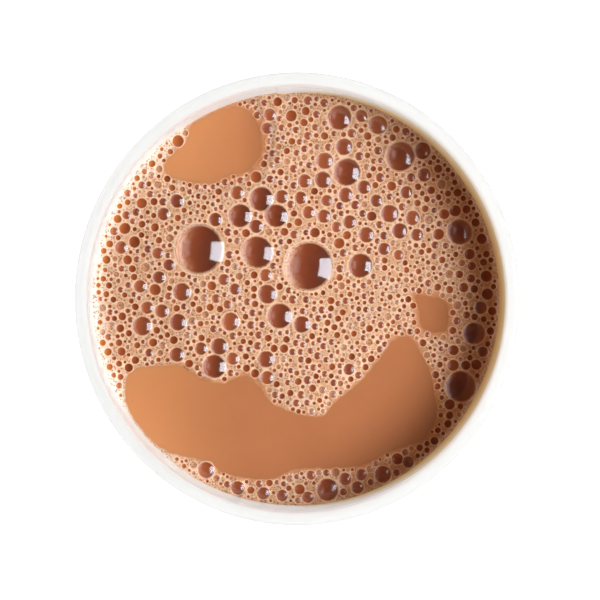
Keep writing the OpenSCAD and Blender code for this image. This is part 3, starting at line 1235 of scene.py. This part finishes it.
def aim(obj, target, up):
    """Point an object's -Z axis at a target, with its +Y axis as near as it goes to up."""
    back = (obj.location - Vector(target)).normalized()
    side = Vector(up).cross(back).normalized()
    obj.matrix_world = Matrix.Translation(obj.location) @ Matrix(
        (side, back.cross(side), back)).transposed().to_4x4()


class TEA_OT_stage(bpy.types.Operator):
    """Set up the floor, the window light, the room's fill and the camera"""
    bl_idname = "tea.build_stage"
    bl_label = "Stage"

    def execute(self, context):
        stage = context.scene.tea_stage
        mesh = bpy.data.meshes.new("floor")
        half = 1.5
        corners = [(-half, -half, 0), (half, -half, 0), (half, half, 0), (-half, half, 0)]
        mesh.from_pydata(corners, [], [(0, 1, 2, 3)])
        floor = bpy.data.objects.new("floor", mesh)
        floor.data.materials.append(floor_material())
        context.scene.collection.objects.link(floor)
        drink = ("milky_tea", "froth_bed", *(kind[0] for kind in FILM_KINDS))
        paper = ("paper_cup", "cup_bottom", "floor")
        window, spans = (0.5, -5.0, 30.5), (50.0, 49.0)
        brightness = stage.light_radiance
        self.lamp(context, "window", brightness, window, spans, drink)
        self.lamp(context, "window_on_paper", brightness * stage.paper_share, window, spans, paper)
        self.lamp(context, "overhead", stage.overhead, (1.0, 0.0, 90.0), (105.0, 105.0), paper)
        for name, azimuth in (("side_back", 90.0), ("side_front", -90.0)):
            self.lamp(context, name, stage.sides, (0.6, azimuth, 25.0), (48.0, 30.0), paper)
        self.light_room(context, stage)
        self.place_camera(context, stage.camera_height)
        context.scene.view_settings.view_transform = "Standard"
        return {"FINISHED"}

    def light_room(self, context, stage):
        """A dim room with pale walls and a screen across from the window, white to the eye."""
        world = bpy.data.worlds.new("room")
        world.use_nodes = True
        tree = world.node_tree
        sky = add_node(tree, "ShaderNodeSeparateXYZ")
        link(tree, add_node(tree, "ShaderNodeTexCoord").outputs["Generated"], sky.inputs[0])
        low = spread(tree, sky.outputs["Z"], 0.05, 0.22, stage.horizon, stage.fill)
        screen = product(tree, spread(tree, sky.outputs["X"], -0.45, -0.75),
                         spread(tree, sky.outputs["Z"], 0.66, 0.48, 0.0, stage.reflector))
        glow = maths(tree, "MAXIMUM", maths(tree, "MAXIMUM", low, screen),
                     add_node(tree, "ShaderNodeLightPath").outputs["Is Camera Ray"])
        tree.nodes["Background"].inputs[0].default_value = (1.0, 1.0, 1.0, 1.0)
        link(tree, glow, tree.nodes["Background"].inputs[1])
        context.scene.world = world

    def place_camera(self, context, height):
        """A camera over the cup, a little to the left of its axis, that looks down at the rim."""
        view_width, offset = 106.6 * MM, -18.0 * MM
        data = bpy.data.cameras.new("camera")
        data.lens = data.sensor_width * height / view_width
        data.clip_start = 0.01
        camera = bpy.data.objects.new("camera", data)
        context.scene.collection.objects.link(camera)
        camera.location = (offset, 0.0, RIM_TOP + height)
        aim(camera, (0.4 * MM, -0.2 * MM, RIM_TOP), (0, 1, 0))
        context.scene.camera = camera

    def lamp(self, context, name, radiance, reach, spans, receivers):
        """A rectangle of light that looks at the tea, kept to some pieces; all of them cast its shadow.

        Reach is (distance, azimuth, height) and spans are the width and height it fills, in degrees.
        """
        distance = reach[0]
        azimuth, height = (math.radians(angle) for angle in reach[1:])
        data = bpy.data.lights.new(name, "AREA")
        data.shape = "RECTANGLE"
        data.size, data.size_y = (2 * distance * math.tan(math.radians(span / 2)) for span in spans)
        data.energy = radiance * math.pi * data.size * data.size_y
        light = bpy.data.objects.new(name, data)
        context.scene.collection.objects.link(light)
        light.location = (distance * math.cos(height) * math.cos(azimuth),
                          distance * math.cos(height) * math.sin(azimuth),
                          LEVEL + distance * math.sin(height))
        aim(light, (0, 0, LEVEL), (0, 0, 1) if reach[2] < 80 else (0, 1, 0))
        group = bpy.data.collections.new(name + "_receivers")
        for piece in receivers:
            group.objects.link(bpy.data.objects[piece])
        light.light_linking.receiver_collection = group


class TEA_PT_panel(bpy.types.Panel):
    bl_label = "Cup of tea"
    bl_idname = "TEA_PT_panel"
    bl_space_type = "VIEW_3D"
    bl_region_type = "UI"
    bl_category = "Tea"

    def draw(self, context):
        layout = self.layout
        scene = context.scene
        for settings in (scene.tea_cup, scene.tea_drink, scene.tea_froth, scene.tea_stage):
            box = layout.box()
            for name in settings.bl_rna.properties.keys():
                if name not in ("rna_type", "name"):
                    box.prop(settings, name)
        for operator in OPERATORS:
            layout.operator(operator.bl_idname)


SETTINGS = {
    "tea_cup": CupSettings,
    "tea_drink": TeaSettings,
    "tea_froth": FrothSettings,
    "tea_stage": StageSettings,
}
OPERATORS = (TEA_OT_cup, TEA_OT_tea, TEA_OT_froth, TEA_OT_films, TEA_OT_stage)
CLASSES = (*SETTINGS.values(), *OPERATORS, TEA_PT_panel)


def register():
    for item in CLASSES:
        bpy.utils.register_class(item)
    for name, group in SETTINGS.items():
        setattr(bpy.types.Scene, name, bpy.props.PointerProperty(type=group))


def unregister():
    for name in SETTINGS:
        delattr(bpy.types.Scene, name)
    for item in reversed(CLASSES):
        bpy.utils.unregister_class(item)


def main():
    register()
    bpy.ops.tea.build_cup()
    bpy.ops.tea.build_tea()
    bpy.ops.tea.build_froth()
    bpy.ops.tea.build_films()
    bpy.ops.tea.build_stage()


if __name__ == "__main__":
    main()
